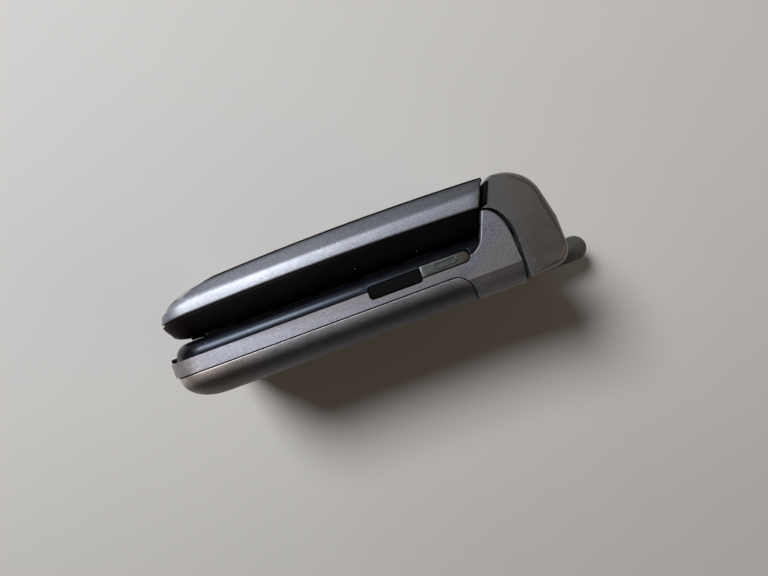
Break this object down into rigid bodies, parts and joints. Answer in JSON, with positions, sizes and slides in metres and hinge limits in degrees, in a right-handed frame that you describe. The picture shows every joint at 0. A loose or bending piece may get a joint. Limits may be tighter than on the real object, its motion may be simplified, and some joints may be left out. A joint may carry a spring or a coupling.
{
  "type": "flip phone",
  "caption": "Closed clamshell phone with hinged lid, end cap with stub antenna, keypad, side keys, windows, sliding battery cover and inner modules.",
  "frame": {"origin": "under the middle of the closed phone, antenna included, at the level of the left side on which it lies", "axes": "+X from the chin to the hinge end, +Y from the rear cover to the lid's outer face, +Z from the phone's left side to its right side"},
  "size_m": [0.1, 0.0254, 0.045],
  "materials": {
    "silver_shell": "metallic silver paint on plastic, satin",
    "silver_rear": "metallic silver paint, worn",
    "black_gloss": "glossy black",
    "black_matte": "fine matte black",
    "taupe": "soft-touch taupe",
    "antenna_grey": "moulded grey, matte",
    "rubber": "soft black rubber",
    "pale_rubber": "pale translucent rubber",
    "key_silver": "worn silver paint",
    "key_pale": "pale key caps with dark numerals",
    "window": "clear window with dark surround",
    "display": "display panel",
    "board": "green solder mask",
    "metal": "plain steel",
    "tin": "tinned sheet",
    "gold": "gold-plated contact",
    "battery": "battery wrap",
    "card": "white card",
    "dark_part": "black moulded part",
    "bush": "acetal",
    "flex": "amber film"
  },
  "bodies": {
    "base": {"mid_frame": "silver_shell", "keypad_cover": "black_gloss", "hinge_cap": "taupe", "antenna_stub": "antenna_grey", "keypad_mat": "rubber", "main_board": "board", "radio_shield": "tin", "card_holder": "tin", "subscriber_card": "card", "battery_pack": "battery", "battery_contacts": "gold", "system_connector": "dark_part", "charger_socket": "dark_part", "headset_socket": "dark_part", "microphone": "tin", "loudspeaker": "dark_part", "vibration_motor": "metal", "case_screws": "metal", "hinge_pin": "metal", "hinge_cam": "metal"},
    "lid": {"lid_inner_cover": "black_matte", "lid_outer_cover": "silver_shell", "lid_plate": "black_gloss", "outer_window": "window", "camera_window": "window", "display_window": "window", "main_display": "display", "outer_display": "display", "lid_board": "board", "camera_module": "dark_part", "earpiece": "dark_part", "lid_fixings": "rubber", "hinge_bush": "bush", "hinge_cartridge": "metal", "flex_cable": "flex"},
    "battery_cover": {"battery_cover": "silver_rear"},
    "battery_latch": {"battery_latch": "black_matte"},
    "connector_cover": {"connector_cover": "pale_rubber"},
    "headset_cover": {"headset_cover": "rubber"},
    "side_key": {"side_key": "key_silver"},
    "volume_key": {"volume_key": "key_silver"},
    "vibration_weight": {"vibration_weight": "metal"},
    "key_1": {"key_1": "key_pale"},
    "key_2": {"key_2": "key_pale"},
    "key_3": {"key_3": "key_pale"},
    "key_4": {"key_4": "key_pale"},
    "key_5": {"key_5": "key_pale"},
    "key_6": {"key_6": "key_pale"},
    "key_7": {"key_7": "key_pale"},
    "key_8": {"key_8": "key_pale"},
    "key_9": {"key_9": "key_pale"},
    "key_star": {"key_star": "key_pale"},
    "key_0": {"key_0": "key_pale"},
    "key_hash": {"key_hash": "key_pale"},
    "soft_key_left": {"soft_key_left": "key_pale"},
    "soft_key_right": {"soft_key_right": "key_pale"},
    "send_key": {"send_key": "key_pale"},
    "end_key": {"end_key": "key_pale"},
    "nav_ring": {"nav_ring": "key_silver"},
    "select_key": {"select_key": "key_pale"}
  },
  "joints": [
    {"name": "lid_hinge", "type": "hinge", "parent": "base", "child": "lid", "pos_m": [0.0275, 0.00692, 0.0225], "axis": [0, 0, -1], "range_deg": [0, 150]},
    {"name": "battery_cover_slide", "type": "slide", "parent": "base", "child": "battery_cover", "axis": [-1, 0, 0], "range_m": [0, 0.006]},
    {"name": "battery_latch_press", "type": "slide", "parent": "battery_cover", "child": "battery_latch", "axis": [1, 0, 0], "range_m": [0, 0.0006], "stiffness_N_per_m": 800},
    {"name": "connector_cover_swing", "type": "hinge", "parent": "base", "child": "connector_cover", "pos_m": [-0.04965, -0.00332, 0.014], "axis": [0, -1, 0], "range_deg": [0, 100]},
    {"name": "headset_cover_swing", "type": "hinge", "parent": "base", "child": "headset_cover", "pos_m": [-0.006, -0.00213, 0.045], "axis": [0, -1, 0], "range_deg": [0, 90]},
    {"name": "side_key_press", "type": "slide", "parent": "base", "child": "side_key", "axis": [0, 0, -1], "range_m": [0, 0.0005], "stiffness_N_per_m": 1500},
    {"name": "volume_key_press", "type": "slide", "parent": "base", "child": "volume_key", "axis": [0, 0, 1], "range_m": [0, 0.0004], "stiffness_N_per_m": 1500},
    {"name": "vibration_weight_spin", "type": "hinge", "parent": "base", "child": "vibration_weight", "pos_m": [-0.04155, -0.00607, 0.0188], "axis": [0, 0, 1], "continuous": true},
    {"name": "key_1_press", "type": "slide", "parent": "base", "child": "key_1", "axis": [0, -1, 0], "range_m": [0, 0.0005], "stiffness_N_per_m": 1500},
    {"name": "key_2_press", "type": "slide", "parent": "base", "child": "key_2", "axis": [0, -1, 0], "range_m": [0, 0.0005], "stiffness_N_per_m": 1500},
    {"name": "key_3_press", "type": "slide", "parent": "base", "child": "key_3", "axis": [0, -1, 0], "range_m": [0, 0.0005], "stiffness_N_per_m": 1500},
    {"name": "key_4_press", "type": "slide", "parent": "base", "child": "key_4", "axis": [0, -1, 0], "range_m": [0, 0.0005], "stiffness_N_per_m": 1500},
    {"name": "key_5_press", "type": "slide", "parent": "base", "child": "key_5", "axis": [0, -1, 0], "range_m": [0, 0.0005], "stiffness_N_per_m": 1500},
    {"name": "key_6_press", "type": "slide", "parent": "base", "child": "key_6", "axis": [0, -1, 0], "range_m": [0, 0.0005], "stiffness_N_per_m": 1500},
    {"name": "key_7_press", "type": "slide", "parent": "base", "child": "key_7", "axis": [0, -1, 0], "range_m": [0, 0.0005], "stiffness_N_per_m": 1500},
    {"name": "key_8_press", "type": "slide", "parent": "base", "child": "key_8", "axis": [0, -1, 0], "range_m": [0, 0.0005], "stiffness_N_per_m": 1500},
    {"name": "key_9_press", "type": "slide", "parent": "base", "child": "key_9", "axis": [0, -1, 0], "range_m": [0, 0.0005], "stiffness_N_per_m": 1500},
    {"name": "key_star_press", "type": "slide", "parent": "base", "child": "key_star", "axis": [0, -1, 0], "range_m": [0, 0.0005], "stiffness_N_per_m": 1500},
    {"name": "key_0_press", "type": "slide", "parent": "base", "child": "key_0", "axis": [0, -1, 0], "range_m": [0, 0.0005], "stiffness_N_per_m": 1500},
    {"name": "key_hash_press", "type": "slide", "parent": "base", "child": "key_hash", "axis": [0, -1, 0], "range_m": [0, 0.0005], "stiffness_N_per_m": 1500},
    {"name": "soft_key_left_press", "type": "slide", "parent": "base", "child": "soft_key_left", "axis": [0, -1, 0], "range_m": [0, 0.0005], "stiffness_N_per_m": 1500},
    {"name": "soft_key_right_press", "type": "slide", "parent": "base", "child": "soft_key_right", "axis": [0, -1, 0], "range_m": [0, 0.0005], "stiffness_N_per_m": 1500},
    {"name": "send_key_press", "type": "slide", "parent": "base", "child": "send_key", "axis": [0, -1, 0], "range_m": [0, 0.0005], "stiffness_N_per_m": 1500},
    {"name": "end_key_press", "type": "slide", "parent": "base", "child": "end_key", "axis": [0, -1, 0], "range_m": [0, 0.0005], "stiffness_N_per_m": 1500},
    {"name": "nav_ring_press", "type": "slide", "parent": "base", "child": "nav_ring", "axis": [0, -1, 0], "range_m": [0, 0.0005], "stiffness_N_per_m": 1500},
    {"name": "select_key_press", "type": "slide", "parent": "base", "child": "select_key", "axis": [0, -1, 0], "range_m": [0, 0.0005], "stiffness_N_per_m": 1500}
  ]
}
